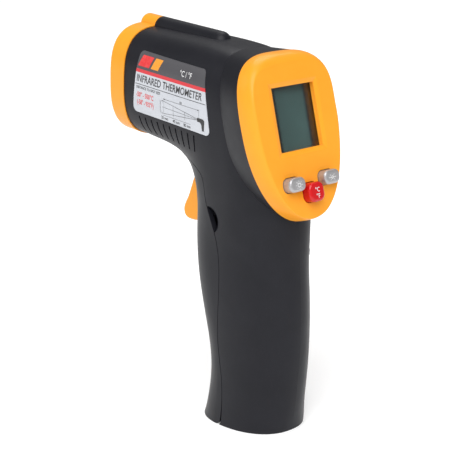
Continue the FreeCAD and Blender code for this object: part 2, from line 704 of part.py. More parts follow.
# --------------------------------------------------------------------- trigger
# Side outline of the trigger: down the front to the hooked tip, up the rear, round the pin.
TRIGGER = [
    (-18.4, 90.0), (-21.8, 83.5), (-25.2, 75.5), (-28.0, 68.5), (-29.9, 63.0), (-28.6, 60.6),
    (-24.6, 60.0), (-20.2, 61.0), (-16.3, 64.5), (-13.4, 70.0), (-12.3, 77.0), (-10.9, 84.5),
    (-10.5, 89.5), (-14.2, 92.8),
]


def trigger():
    """Hooked finger piece that hangs from the trigger pin."""
    owner = body("trigger")
    side = sketch_on(owner, "XZ_Plane", "trigger_side")
    outline = Part.BSplineCurve()
    outline.interpolate(Points=[Vector(x, z, 0) for x, z in TRIGGER], PeriodicFlag=True)
    side.addGeometry(outline, False)
    pivot = Vector(mm("pivot_x"), mm("pivot_z"), 0)
    pad(owner, side, "trigger_pad", "2 * @trigger_half", midplane=True)
    doc.recompute()
    tip = owner.Tip
    rim = [f"Edge{n}" for n in front_edges(tip.Shape, "y", mm("trigger_half"))
           + front_edges(tip.Shape, "y", -mm("trigger_half"))]
    rounding = owner.newObject("PartDesign::Fillet", "trigger_rounding")
    rounding.Base = (tip, rim)
    rounding.Radius = 1.2
    eye = sketch_on(owner, "XZ_Plane", "trigger_eye")
    eye.addGeometry(Part.Circle(pivot, Vector(0, 0, 1), mm("pin_radius") + mm("pin_fit")), False)
    bore = owner.newObject("PartDesign::Pocket", "trigger_bore")
    bore.Profile = eye
    bore.Type = "ThroughAll"
    bore.SideType = "Symmetric"
    finish(owner, "trigger")
    reach = mm("cheek_inner") + mm("cheek_thick")
    pin = cylinder("trigger_pin", (mm("pivot_x"), -reach, mm("pivot_z")), (0, 1, 0),
                   Radius="@pin_radius", Height="2 * (@cheek_inner + @cheek_thick)")
    finish(pin, "trigger_pin", STANCE * pin.Placement)


CHEEK = [(-18.0, 92.0), (-17.0, 87.6), (-14.5, 85.4), (-11.5, 84.5), (-9.5, 80.5), (-9.5, 68.5),
         (-2.5, 68.5), (-2.5, 96.0), (12.9, 96.0), (12.9, 98.0), (-18.0, 98.0)]


def trigger_bracket():
    """Channel with two cheeks for the trigger pin and the switch, and a tongue to the case boss."""
    owner = body("trigger_bracket")
    side = sketch_on(owner, "XZ_Plane", "cheek_outline")
    draw_polygon(side, CHEEK)
    pad(owner, side, "cheek_pad", "2 * (@cheek_inner + @cheek_thick)", midplane=True)
    channel = sketch_on(owner, "XZ_Plane", "channel_outline")
    draw_polygon(channel, [(-30.0, 60.0), (10.0, 60.0), (10.0, 96.0), (-30.0, 96.0)])
    room = owner.newObject("PartDesign::Pocket", "channel_room")
    room.Profile = channel
    room.SideType = "Symmetric"
    bind(room, Length="2 * @cheek_inner")
    eye = sketch_on(owner, "XZ_Plane", "cheek_eye")
    pivot = Vector(mm("pivot_x"), mm("pivot_z"), 0)
    eye.addGeometry(Part.Circle(pivot, Vector(0, 0, 1), mm("pin_radius")), False)
    bore = owner.newObject("PartDesign::Pocket", "cheek_bore")
    bore.Profile = eye
    bore.Type = "ThroughAll"
    bore.SideType = "Symmetric"
    finish(owner, "trigger_bracket")


def trigger_switch():
    case = box("switch_case", (-9.0, -mm("cheek_inner"), 70.0),
               Length="6", Width="2 * @cheek_inner", Height="12")
    nub = cylinder("switch_nub", (-10.8, 0, 75.0), (1, 0, 0), Radius="1.2", Height="3")
    finish(fuse("trigger_switch", [case, nub]), "trigger_switch")


def trigger_spring():
    """Closed turns of the torsion spring round the pin, on the left of the trigger."""
    turns = []
    for number in range(int(mm("spring_turns"))):
        turn = doc.addObject("Part::Torus", f"spring_turn_{number}")
        y = -mm("cheek_inner") + 0.45 + number * 2.1 * mm("spring_wire")
        turn.Placement = Placement(Vector(mm("pivot_x"), y, mm("pivot_z")), Rotation(Vector(1, 0, 0), 90))
        turns.append(bind(turn, Radius1="@spring_radius", Radius2="@spring_wire"))
    finish(fuse("trigger_spring", turns), "trigger_spring")


# ------------------------------------------------------------------ power
def battery():
    """Rectangular nine-volt cell with its two snap terminals."""
    owner = body("battery")
    plan = sketch_on(owner, "XY_Plane", "cell_plan")
    middle = (mm("cell_x") + mm("cell_thick") / 2, 0.0)
    draw_slot(plan, middle, mm("cell_thick"), mm("cell_wide"), mm("cell_round"))
    pad(owner, plan, "cell_pad", "@cell_tall")
    studs = sketch_on(owner, "XY_Plane", "stud_plan")
    for y, radius in ((6.35, 2.9), (-6.35, 4.0)):
        studs.addGeometry(Part.Circle(Vector(middle[0], y, 0), Vector(0, 0, 1), radius), False)
    pad(owner, studs, "stud_pad", "@cell_tall + 2")
    finish(owner, "battery", STANCE * Placement(Vector(0, 0, mm("cell_z")), Rotation()))


def battery_snap():
    """Snap-on cap over the battery's terminals."""
    middle = mm("cell_x") + mm("cell_thick") / 2
    top = mm("cell_z") + mm("cell_tall")
    cap = box("snap_cap", (middle - 5.5, -12.5, top + 0.05), Length="11", Width="25", Height="4.5")
    cups = [cylinder(f"snap_cup_{n}", (middle, y, top - 1), (0, 0, 1), Radius=str(radius), Height="3.1")
            for n, (y, radius) in enumerate(((6.35, 3.0), (-6.35, 4.1)))]
    finish(cut("battery_snap", cap, fuse("snap_cups", cups)), "battery_snap")


def battery_bay():
    """Back wall behind the battery, with a shelf under it."""
    owner = body("battery_bay")
    side = sketch_on(owner, "XZ_Plane", "bay_side")
    back = mm("cell_x") + mm("cell_thick") + 0.3
    wall = mm("bay_wall")
    shelf = mm("cell_z") - 0.1
    draw_polygon(side, [(back, 58.0), (back, shelf), (4.0, shelf), (4.0, shelf - wall),
                        (back + wall, shelf - wall), (back + wall, 58.0)])
    pad(owner, side, "bay_pad", "23", midplane=True)
    finish(owner, "battery_bay")


# ------------------------------------------------------------------- leads
def lead_path(route):
    """Straight runs through the route's points, with a tangent arc at each bend."""
    edges = []
    last = route[0]
    for before, corner, after in zip(route, route[1:], route[2:]):
        inward = (corner - before).normalize()
        outward = (after - corner).normalize()
        turn = inward.getAngle(outward)
        shorter = min((corner - before).Length, (after - corner).Length)
        tangent = 0.45 * shorter
        print("lead bend radius", round(tangent / math.tan(turn / 2), 1))
        start = corner - inward * tangent
        end = corner + outward * tangent
        radius = tangent / math.tan(turn / 2)
        side = (outward - inward).normalize()
        centre = corner + side * (radius / math.cos(turn / 2))
        edges.append(Part.makeLine(last, start))
        edges.append(Part.Arc(start, centre - side * radius, end).toShape())
        last = end
    edges.append(Part.makeLine(last, route[-1]))
    return Part.Wire(edges)


def lead(label, radius, *points):
    route = [Vector(*point) for point in points]
    path = lead_path(route)
    ring = Part.Wire(Part.makeCircle(radius, route[0], route[1] - route[0]))
    tube = path.makePipeShell([ring], True, True)
    print(label, "length", round(path.Length, 1), "volume ratio",
          round(tube.Volume / (math.pi * radius ** 2 * path.Length), 3))
    finish(free_form(label, tube), label)


def board_spot(y, z):
    """Point just behind the main board, where a slanting lead meets it."""
    spot = FACE.multVec(Vector(mm("board_face") - mm("board_thick") - 0.4, y, z))
    return (spot.x, spot.y, spot.z)


def leads():
    middle = mm("cell_x") + mm("cell_thick") / 2
    top = mm("cell_z") + mm("cell_tall") + 4.55
    lead("red_lead", 0.7, (middle, 6.3, top), (middle + 0.5, 6.0, 58.0), (14.0, 7.5, 74.0),
         board_spot(5.0, -21.0))
    lead("black_lead", 0.7, (middle, -6.3, top), (middle + 1.0, -6.6, 60.0),
         (13.0, -7.5, 75.0), board_spot(-5.0, -22.0))
    lead("sensor_lead", 0.9, (-24.0, 2.0, 113.0), (-10.0, -3.0, 117.0), (4.0, -8.0, 113.0),
         board_spot(-6.0, 2.0))
    lead("laser_lead", 0.7, (-43.8, 0.0, 132.4), (-29.0, 1.5, 129.5), (-10.0, -3.0, 129.0),
         board_spot(-5.0, 11.0))
    lead("switch_lead", 0.7, (-2.7, 0.0, 77.0), (4.0, 1.0, 80.0), (11.0, -1.5, 84.5),
         board_spot(-1.0, -25.5))


# --------------------------------------------------------- screws and label
def case_screws():
    solids = []
    for n, (x, z) in enumerate(SCREWS):
        shank = cylinder(f"case_shank_{n}", (x, -8.4, z), (0, 1, 0), Radius="@screw_radius", Height="17.9")
        head = cylinder(f"case_head_{n}", (x, 9.0, z), (0, 1, 0),
                        Radius="@screw_radius + 0.9", Height="1.8")
        solids += [shank, head]
    finish(fuse("case_screws", solids), "case_screws")


LABEL = [(-42.8, 129.2), (-2.5, 128.8), (2.4, 103.9), (-45.9, 104.0)]


def spec_label():
    """Thin sheet stuck to the left side of the barrel, following its curve."""
    corners = [Vector(x, -30, z) for x, z in LABEL]
    prism = Part.Face(Part.makePolygon(corners + corners[:1])).extrude(Vector(0, 20, 0))
    upright = [edge for edge in prism.Edges if abs(edge.Length - 20) < 1e-6]
    region = prism.makeFillet(2.0, upright)
    skins = [half_skin(inset).mirror(Vector(), Vector(0, 1, 0)) for inset in (-0.2, 0.0)]
    patch, core = [region.common(skin) for skin in skins]
    finish(free_form("spec_label", patch.cut(core)), "spec_label")


# ------------------------------------------------------------------ assembly
def hinge_pin():
    pin = hinge_cylinder("hinge_pin", mm("knuckle_far") - 0.5, "@hinge_pin")
    finish(pin, "hinge_pin", STANCE * pin.Placement)


battery_door()
shells()
nose_cap()
display_bezel()
display_stack()
main_board()
for button, place in BUTTONS.items():
    push_button(button, place)
    tact_switch(button.replace("button", "switch"), place)
sensor_optics()
laser()
trigger()
trigger_bracket()
trigger_switch()
trigger_spring()
battery()
battery_snap()
battery_bay()
leads()
case_screws()
spec_label()
hinge_pin()
doc.recompute()

for thing in doc.Objects:
    if {"Invalid", "Error"} & set(thing.State):
        raise RuntimeError(f"{thing.Label} failed: {thing.State}")
for piece in pieces:
    if piece.Shape.isNull() or not piece.Shape.isValid() or piece.Shape.Volume <= 0:
        raise RuntimeError(f"{piece.Label} has no valid shape")

os.makedirs("parts", exist_ok=True)
for piece in pieces:
    piece.Shape.exportStep(f"parts/{piece.Label}.step")
print(len(pieces), "pieces")
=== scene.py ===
# Infrared thermometer: finishes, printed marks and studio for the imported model.
import math

import bpy
from mathutils import Matrix, Vector


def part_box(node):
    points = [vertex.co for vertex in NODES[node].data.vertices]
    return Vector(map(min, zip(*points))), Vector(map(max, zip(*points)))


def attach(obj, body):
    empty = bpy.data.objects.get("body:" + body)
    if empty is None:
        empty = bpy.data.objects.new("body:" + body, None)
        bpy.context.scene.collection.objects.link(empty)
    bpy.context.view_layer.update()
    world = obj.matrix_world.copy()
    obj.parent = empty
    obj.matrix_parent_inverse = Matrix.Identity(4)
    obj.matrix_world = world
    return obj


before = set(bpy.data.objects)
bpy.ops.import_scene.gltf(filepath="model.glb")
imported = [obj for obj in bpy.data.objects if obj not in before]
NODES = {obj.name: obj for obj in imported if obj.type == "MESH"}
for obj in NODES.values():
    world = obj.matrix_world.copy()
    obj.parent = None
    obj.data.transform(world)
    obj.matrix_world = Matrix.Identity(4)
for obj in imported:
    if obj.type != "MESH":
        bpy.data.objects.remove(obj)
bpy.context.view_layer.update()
SLOTS = {name: node.data.materials[0].name.split(".")[0] for name, node in NODES.items()}
MM = 0.001

# ------------------------------------------------------------------- frames
# The drawing frame is in millimetres with the barrel level; STAND tips it
# onto the flat base and turns it into metres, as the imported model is.
STAND = (
    Matrix.Scale(MM, 4)
    @ Matrix.Rotation(math.radians(6.3), 4, "Y")
    @ Matrix.Translation((-13.5, 0.0, 15.5))
)
REAR_FACE = (
    STAND
    @ Matrix.Translation((30.0, 0.0, 115.0))
    @ Matrix.Rotation(math.radians(-17.8), 4, "Y")
)


def printing_frame(home, right, up):
    """Frame whose X runs to the reader's right, Y up and Z towards the reader."""
    right = Vector(right)
    up = Vector(up)
    axes = Matrix((right, up, right.cross(up))).transposed().to_4x4()
    return home @ axes


LABEL_SIDE = printing_frame(STAND, (1, 0, 0), (0, 0, 1))
KEY_SIDE = printing_frame(REAR_FACE, (0, 1, 0), (0, 0, 1))


# ----------------------------------------------------------- shared effects
def new_group(name, inputs, outputs):
    """Empty shader group with the named sockets, and its two end nodes."""
    group = bpy.data.node_groups.new(name, "ShaderNodeTree")
    for label, value in inputs.items():
        kind = "NodeSocketColor" if isinstance(value, tuple) else "NodeSocketFloat"
        socket = group.interface.new_socket(label, in_out="INPUT", socket_type=kind)
        socket.default_value = value
    for label, kind in outputs.items():
        group.interface.new_socket(label, in_out="OUTPUT", socket_type=kind)
    start = group.nodes.new("NodeGroupInput")
    end = group.nodes.new("NodeGroupOutput")
    return group, start, end


def add_node(tree, kind, settings=None, **values):
    """Node of that kind with settings on it and values on its inputs."""
    node = tree.nodes.new(kind)
    for key, value in (settings or {}).items():
        setattr(node, key, value)
    for key, value in values.items():
        node.inputs[key.replace("_", " ")].default_value = value
    return node


def math_node(tree, operation, first, second=None):
    """Math node whose inputs are numbers or sockets; gives its output."""
    node = tree.nodes.new("ShaderNodeMath")
    node.operation = operation
    for slot, value in enumerate((first, second)):
        if value is None:
            continue
        if isinstance(value, (int, float)):
            node.inputs[slot].default_value = value
        else:
            tree.links.new(value, node.inputs[slot])
    return node.outputs[0]


def make_moulded_grain():
    """Fine spark-eroded grain of a moulded plastic skin."""
    group, start, end = new_group(
        "moulded grain",
        {"Grain per metre": 2600.0, "Depth": 0.00002, "Strength": 0.4},
        {"Normal": "NodeSocketVector", "Grain": "NodeSocketFloat"},
    )
    place = add_node(group, "ShaderNodeTexCoord")
    coarse = add_node(group, "ShaderNodeTexNoise", Detail=3.0, Roughness=0.55)
    fine = add_node(group, "ShaderNodeTexVoronoi", {"feature": "SMOOTH_F1"}, Smoothness=0.6)
    bump = add_node(group, "ShaderNodeBump")
    link = group.links.new
    link(place.outputs["Object"], coarse.inputs["Vector"])
    link(place.outputs["Object"], fine.inputs["Vector"])
    link(start.outputs["Grain per metre"], coarse.inputs["Scale"])
    finer = math_node(group, "MULTIPLY", start.outputs["Grain per metre"], 1.7)
    link(finer, fine.inputs["Scale"])
    both = math_node(group, "ADD", coarse.outputs["Fac"], fine.outputs["Distance"])
    grain = math_node(group, "MULTIPLY", both, 0.5)
    link(grain, bump.inputs["Height"])
    link(start.outputs["Depth"], bump.inputs["Distance"])
    link(start.outputs["Strength"], bump.inputs["Strength"])
    link(bump.outputs["Normal"], end.inputs["Normal"])
    link(grain, end.inputs["Grain"])
    return group


def make_handling():
    """Broad soft patches where a tool has been held and wiped."""
    group, start, end = new_group(
        "handling",
        {"Patches per metre": 55.0, "Low": 0.0, "High": 1.0},
        {"Value": "NodeSocketFloat"},
    )
    place = add_node(group, "ShaderNodeTexCoord")
    noise = add_node(group, "ShaderNodeTexNoise", Detail=4.0, Roughness=0.6, Distortion=0.4)
    spread = add_node(group, "ShaderNodeMapRange")
    link = group.links.new
    link(place.outputs["Object"], noise.inputs["Vector"])
    link(start.outputs["Patches per metre"], noise.inputs["Scale"])
    link(noise.outputs["Fac"], spread.inputs["Value"])
    spread.inputs["From Min"].default_value = 0.32
    spread.inputs["From Max"].default_value = 0.68
    link(start.outputs["Low"], spread.inputs["To Min"])
    link(start.outputs["High"], spread.inputs["To Max"])
    link(spread.outputs["Result"], end.inputs["Value"])
    return group


def make_dust():
    """Sparse pale specks of dust."""
    group, start, end = new_group(
        "dust",
        {"Specks per metre": 900.0, "Amount": 0.05},
        {"Mask": "NodeSocketFloat"},
    )
    place = add_node(group, "ShaderNodeTexCoord")
    cells = add_node(group, "ShaderNodeTexVoronoi")
    link = group.links.new
    link(place.outputs["Object"], cells.inputs["Vector"])
    link(start.outputs["Specks per metre"], cells.inputs["Scale"])
    near = math_node(group, "LESS_THAN", cells.outputs["Distance"], 0.16)
    link(math_node(group, "MULTIPLY", near, start.outputs["Amount"]), end.inputs["Mask"])
    return group


GRAIN = make_moulded_grain()
HANDLING = make_handling()
DUST = make_dust()


# ---------------------------------------------------------------- materials
def start_material(name, roughness, metallic=0.0):
    """New material with a plain shader; gives material, tree and shader."""
    made = bpy.data.materials.new(name)
    made.use_nodes = True
    tree = made.node_tree
    shader = tree.nodes["Principled BSDF"]
    shader.inputs["Roughness"].default_value = roughness
    shader.inputs["Metallic"].default_value = metallic
    return made, tree, shader


def place_group(tree, group, **values):
    """Shared effect placed in a material with its own values."""
    node = tree.nodes.new("ShaderNodeGroup")
    node.node_tree = group
    for key, value in values.items():
        node.inputs[key.replace("_", " ")].default_value = value
    return node


def mix_colours(tree, factor, first, second):
    """Colour between two colours or sockets, by a factor socket."""
    node = tree.nodes.new("ShaderNodeMix")
    node.data_type = "RGBA"
    tree.links.new(factor, node.inputs[0])
    for slot, value in ((6, first), (7, second)):
        if isinstance(value, tuple):
            node.inputs[slot].default_value = (*value, 1.0)
        else:
            tree.links.new(value, node.inputs[slot])
    return node.outputs[2]


def moulded_plastic(name, light, dark, smooth, rough, grain, depth, dust=0.0, gleam=0.5):
    """Moulded plastic: two close tones, uneven gloss and a moulded grain."""
    made, tree, shader = start_material(name, rough)
    shader.inputs["Specular IOR Level"].default_value = gleam
    tones = place_group(tree, HANDLING, Patches_per_metre=70.0)
    colour = mix_colours(tree, tones.outputs["Value"], dark, light)
    if dust:
        specks = place_group(tree, DUST, Specks_per_metre=700.0, Amount=dust)
        colour = mix_colours(tree, specks.outputs["Mask"], colour, (0.5, 0.5, 0.5))
    gloss = place_group(tree, HANDLING, Patches_per_metre=33.0, Low=smooth, High=rough)
    skin = place_group(tree, GRAIN, Grain_per_metre=grain, Depth=depth)
    tree.links.new(colour, shader.inputs["Base Color"])
    tree.links.new(gloss.outputs["Value"], shader.inputs["Roughness"])
    tree.links.new(skin.outputs["Normal"], shader.inputs["Normal"])
    return made


def brushed_metal(name, light, dark, rough):
    """Turned or drawn metal with fine streaks."""
    made, tree, shader = start_material(name, rough, metallic=1.0)
    place = add_node(tree, "ShaderNodeTexCoord")
    stretch = add_node(tree, "ShaderNodeMapping")
    stretch.inputs["Scale"].default_value = (300.0, 300.0, 5000.0)
    streaks = add_node(tree, "ShaderNodeTexNoise", Scale=1.0, Detail=4.0)
    tree.links.new(place.outputs["Object"], stretch.inputs["Vector"])
    tree.links.new(stretch.outputs["Vector"], streaks.inputs["Vector"])
    colour = mix_colours(tree, streaks.outputs["Fac"], dark, light)
    gloss = place_group(tree, HANDLING, Patches_per_metre=120.0, Low=rough - 0.08, High=rough + 0.1)
    tree.links.new(colour, shader.inputs["Base Color"])
    tree.links.new(gloss.outputs["Value"], shader.inputs["Roughness"])
    return made


def metallic_key(name):
    """Silver-grey metallic paint with fine flakes."""
    made, tree, shader = start_material(name, 0.34, metallic=0.55)
    place = add_node(tree, "ShaderNodeTexCoord")
    flakes = add_node(tree, "ShaderNodeTexVoronoi", Scale=9000.0)
    tree.links.new(place.outputs["Object"], flakes.inputs["Vector"])
    colour = mix_colours(tree, flakes.outputs["Distance"], (0.31, 0.305, 0.31), (0.52, 0.51, 0.52))
    gloss = place_group(tree, HANDLING, Patches_per_metre=160.0, Low=0.28, High=0.42)
    skin = place_group(tree, GRAIN, Grain_per_metre=5200.0, Depth=0.000008, Strength=0.25)
    tree.links.new(colour, shader.inputs["Base Color"])
    tree.links.new(gloss.outputs["Value"], shader.inputs["Roughness"])
    tree.links.new(skin.outputs["Normal"], shader.inputs["Normal"])
    return made


def clear_window(name):
    """Clear acrylic that lets light through to the display."""
    made, tree, shader = start_material(name, 0.03)
    shader.inputs["Transmission Weight"].default_value = 1.0
    shader.inputs["IOR"].default_value = 1.49
    wiped = place_group(tree, HANDLING, Patches_per_metre=60.0, Low=0.02, High=0.03)
    tint = mix_colours(tree, wiped.outputs["Value"], (0.93, 0.97, 0.96), (0.96, 0.98, 0.97))
    tree.links.new(tint, shader.inputs["Base Color"])
    tree.links.new(wiped.outputs["Value"], shader.inputs["Roughness"])
    through = add_node(tree, "ShaderNodeBsdfTransparent")
    choose = add_node(tree, "ShaderNodeMixShader")
    rays = add_node(tree, "ShaderNodeLightPath")
    tree.links.new(rays.outputs["Is Shadow Ray"], choose.inputs[0])
    tree.links.new(shader.outputs[0], choose.inputs[1])
    tree.links.new(through.outputs[0], choose.inputs[2])
    tree.links.new(choose.outputs[0], tree.nodes["Material Output"].inputs[0])
    return made


def local_place(tree, home, axis):
    """Distance along an axis of a printing frame, in millimetres, as a socket."""
    place = add_node(tree, "ShaderNodeTexCoord")
    turn = add_node(tree, "ShaderNodeMapping", {"vector_type": "POINT"})
    split = add_node(tree, "ShaderNodeSeparateXYZ")
    back = home.inverted()
    scale = back.to_scale()
    turn.inputs["Scale"].default_value = scale
    turn.inputs["Rotation"].default_value = back.to_euler()
    turn.inputs["Location"].default_value = back.to_translation()
    tree.links.new(place.outputs["Object"], turn.inputs["Vector"])
    tree.links.new(turn.outputs["Vector"], split.inputs["Vector"])
    return split.outputs[axis]


def step_between(tree, value, low, high):
    """0 below low, 1 above high, smooth in between."""
    ramp = add_node(tree, "ShaderNodeMapRange", {"interpolation_type": "SMOOTHSTEP"})
    ramp.inputs["From Min"].default_value = low
    ramp.inputs["From Max"].default_value = high
    tree.links.new(value, ramp.inputs["Value"])
    return ramp.outputs["Result"]


def display_glass(name):
    """Blank grey-green liquid crystal glass with dark side borders and painted shade that darkens
    it towards the top.
    """
    made, tree, shader = start_material(name, 0.22)
    across = local_place(tree, KEY_SIDE, "X")
    up = local_place(tree, KEY_SIDE, "Y")
    aside = math_node(tree, "ABSOLUTE", across)
    # painted shade: the glass is made darker towards the top, as if shaded by the recess's top wall
    painted_recess_shade = step_between(tree, up, -14.0, 14.0)
    tone = place_group(tree, HANDLING, Patches_per_metre=40.0)
    green = mix_colours(tree, painted_recess_shade, (0.043, 0.081, 0.078), (0.030, 0.060, 0.058))
    mottle = math_node(tree, "MULTIPLY", tone.outputs["Value"], 0.05)
    green = mix_colours(tree, mottle, green, (0.06, 0.10, 0.095))
    edge = step_between(tree, aside, 6.2, 8.0)
    colour = mix_colours(tree, edge, green, (0.006, 0.006, 0.007))
    gloss = place_group(tree, HANDLING, Patches_per_metre=60.0, Low=0.20, High=0.23)
    tree.links.new(colour, shader.inputs["Base Color"])
    tree.links.new(gloss.outputs["Value"], shader.inputs["Roughness"])
    return made


def label_stock(name):
    """Laminated label: dark head, red stripe and silver field."""
    made, tree, shader = start_material(name, 0.33)
    height = local_place(tree, LABEL_SIDE, "Y")
    tone = place_group(tree, HANDLING, Patches_per_metre=50.0)
    silver = mix_colours(tree, tone.outputs["Value"], (0.50, 0.52, 0.56), (0.56, 0.58, 0.62))
    stripe = step_between(tree, height, 120.55, 120.65)
    head = step_between(tree, height, 121.95, 122.05)
    colour = mix_colours(tree, stripe, silver, (0.62, 0.035, 0.045))
    colour = mix_colours(tree, head, colour, (0.075, 0.073, 0.080))
    gloss = place_group(tree, HANDLING, Patches_per_metre=45.0, Low=0.26, High=0.4)
    skin = place_group(tree, GRAIN, Grain_per_metre=1500.0, Depth=0.00001, Strength=0.15)
    tree.links.new(colour, shader.inputs["Base Color"])
    tree.links.new(gloss.outputs["Value"], shader.inputs["Roughness"])
    tree.links.new(skin.outputs["Normal"], shader.inputs["Normal"])
    return made


def printed_ink(name, full, thin):
    """Screen-printed ink, a little uneven."""
    made, tree, shader = start_material(name, 0.42)
    cover = place_group(tree, HANDLING, Patches_per_metre=900.0)
    colour = mix_colours(tree, cover.outputs["Value"], thin, full)
    tree.links.new(colour, shader.inputs["Base Color"])
    return made


def circuit_board(name):
    """Green solder mask with fine copper tracks under it."""
    made, tree, shader = start_material(name, 0.38)
    place = add_node(tree, "ShaderNodeTexCoord")
    tracks = add_node(tree, "ShaderNodeTexBrick", {"offset": 0.37, "squash": 1.6}, Scale=210.0)
    tracks.inputs["Color1"].default_value = (0.010, 0.115, 0.045, 1.0)
    tracks.inputs["Color2"].default_value = (0.014, 0.150, 0.060, 1.0)
    tracks.inputs["Mortar"].default_value = (0.035, 0.26, 0.10, 1.0)
    tracks.inputs["Mortar Size"].default_value = 0.03
    turn = add_node(tree, "ShaderNodeMapping")
    turn.inputs["Rotation"].default_value = (0.0, math.radians(90.0), math.radians(90.0))
    tree.links.new(place.outputs["Object"], turn.inputs["Vector"])
    tree.links.new(turn.outputs["Vector"], tracks.inputs["Vector"])
    tree.links.new(tracks.outputs["Color"], shader.inputs["Base Color"])
    gloss = place_group(tree, HANDLING, Patches_per_metre=100.0, Low=0.3, High=0.45)
    tree.links.new(gloss.outputs["Value"], shader.inputs["Roughness"])
    return made


def infrared_lens(name):
    """Dark coated lens with a faint violet bloom."""
    made, tree, shader = start_material(name, 0.12)
    bloom = place_group(tree, HANDLING, Patches_per_metre=120.0)
    colour = mix_colours(tree, bloom.outputs["Value"], (0.05, 0.055, 0.06), (0.085, 0.075, 0.10))
    tree.links.new(colour, shader.inputs["Base Color"])
    shader.inputs["Coat Weight"].default_value = 1.0
    shader.inputs["Coat Roughness"].default_value = 0.04
    return made


def make_finishes():
    """Every finish of the thermometer by the record's slot name."""
    plastic = moulded_plastic
    return {
        "shell": plastic("charcoal case", (0.0125, 0.0127, 0.0168), (0.0098, 0.0100, 0.0135),
                         0.36, 0.48, 2400.0, 0.000022, dust=0.006, gleam=0.20),
        "yellow": plastic("orange-yellow case", (0.90, 0.345, 0.022), (0.87, 0.325, 0.019),
                          0.30, 0.42, 2200.0, 0.000012, gleam=0.28),
        "window": clear_window("clear window"),
        "lcd": display_glass("display glass"),
        "milky": plastic("diffuser", (0.80, 0.82, 0.78), (0.74, 0.77, 0.73),
                         0.45, 0.6, 1500.0, 0.00001),
        "strip": plastic("contact rubber", (0.06, 0.06, 0.065), (0.035, 0.035, 0.04),
                         0.6, 0.75, 6000.0, 0.00003),
        "board": circuit_board("circuit board"),
        "steel": brushed_metal("bright steel", (0.66, 0.66, 0.68), (0.5, 0.5, 0.52), 0.3),
        "brass": brushed_metal("brass", (0.80, 0.60, 0.27), (0.66, 0.47, 0.18), 0.28),
        "dark": plastic("black plastic", (0.022, 0.022, 0.024), (0.014, 0.014, 0.016),
                        0.35, 0.5, 3000.0, 0.00002),
        "lens": infrared_lens("infrared lens"),
        "grey_key": metallic_key("silver key"),
        "red_key": plastic("red key", (0.55, 0.006, 0.009), (0.49, 0.005, 0.007),
                           0.14, 0.24, 2500.0, 0.000004),
        "frame": plastic("natural nylon", (0.46, 0.46, 0.45), (0.40, 0.40, 0.39),
                         0.45, 0.6, 2600.0, 0.00002),
        "cell": plastic("battery jacket", (0.10, 0.10, 0.12), (0.07, 0.07, 0.085),
                        0.22, 0.34, 1200.0, 0.00001),
        "red_wire": plastic("red wire", (0.60, 0.02, 0.02), (0.50, 0.015, 0.015),
                            0.3, 0.42, 3000.0, 0.00001),
        "black_wire": plastic("black wire", (0.025, 0.025, 0.027), (0.018, 0.018, 0.02),
                              0.3, 0.42, 3000.0, 0.00001),
        "white_wire": plastic("white wire", (0.72, 0.72, 0.70), (0.66, 0.66, 0.63),
                              0.3, 0.42, 3000.0, 0.00001),
        "label": label_stock("label stock"),
    }


def dress_nodes(finishes):
    """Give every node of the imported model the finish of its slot."""
    for name, node in NODES.items():
        node.data.materials.clear()
        node.data.materials.append(finishes[SLOTS[name]])


# ------------------------------------------------------------ printed marks
INK_LIFT = 0.05  # millimetres, in the printing frame


def only(piece):
    """Select one piece and make it active."""
    bpy.ops.object.select_all(action="DESELECT")
    piece.select_set(True)
    bpy.context.view_layer.objects.active = piece


def lettering(words, height, x, y, home, wide=0.8, bold=0.0, slant=0.0, align="LEFT"):
    """Flat lettering as a mesh, its foot at x, y of a printing frame."""
    bpy.ops.object.select_all(action="DESELECT")
    bpy.ops.object.text_add(location=(0, 0, 0))
    made = bpy.context.object
    made.data.body = words
    made.data.size = height / 0.72
    made.data.offset = bold
    made.data.shear = slant
    made.data.align_x = align
    made.data.resolution_u = 4
    only(made)
    bpy.ops.object.convert(target="MESH")
    made = bpy.context.object
    made.data.transform(Matrix.Diagonal((wide, 1.0, 1.0, 1.0)))
    made.data.transform(Matrix.Translation((x, y, 0.0)))
    made.matrix_world = home
    return made


def bar(x, y, width, height, home, turn=0.0):
    """Flat printed bar, centred at x, y of a printing frame, ready to follow a curve."""
    bpy.ops.object.select_all(action="DESELECT")
    cells = max(2, round(width / 0.8))
    rows = max(2, round(height / 0.8))
    bpy.ops.mesh.primitive_grid_add(x_subdivisions=cells, y_subdivisions=rows, size=1.0)
    made = bpy.context.object
    shape = Matrix.Translation((x, y, 0.0)) @ Matrix.Rotation(turn, 4, "Z")
    made.data.transform(shape @ Matrix.Diagonal((width, height, 1.0, 1.0)))
    made.matrix_world = home
    return made


def line(start, end, width, home):
    """Printed line from one place to another."""
    run = Vector(end) - Vector(start)
    middle = (Vector(start) + Vector(end)) / 2
    return bar(middle.x, middle.y, run.length, width, home, math.atan2(run.y, run.x))


def ring(x, y, radius, width, home, wide=1.0):
    """Printed ring or oval."""
    bpy.ops.object.select_all(action="DESELECT")
    bpy.ops.mesh.primitive_circle_add(vertices=28, radius=radius, fill_type="NGON")
    made = bpy.context.object
    only(made)
    bpy.ops.object.mode_set(mode="EDIT")
    bpy.ops.mesh.select_all(action="SELECT")
    bpy.ops.mesh.inset(thickness=width)
    bpy.ops.mesh.delete(type="FACE")
    bpy.ops.object.mode_set(mode="OBJECT")
    made.data.transform(Matrix.Translation((x, y, 0.0)) @ Matrix.Diagonal((wide, 1.0, 1.0, 1.0)))
    made.matrix_world = home
    return made


def outline(points, home):
    """Printed solid shape from its corners."""
    mesh = bpy.data.meshes.new("printed shape")
    mesh.from_pydata([(x, y, 0.0) for x, y in points], [], [range(len(points))])
    made = bpy.data.objects.new("printed shape", mesh)
    bpy.context.scene.collection.objects.link(made)
    made.matrix_world = home
    return made


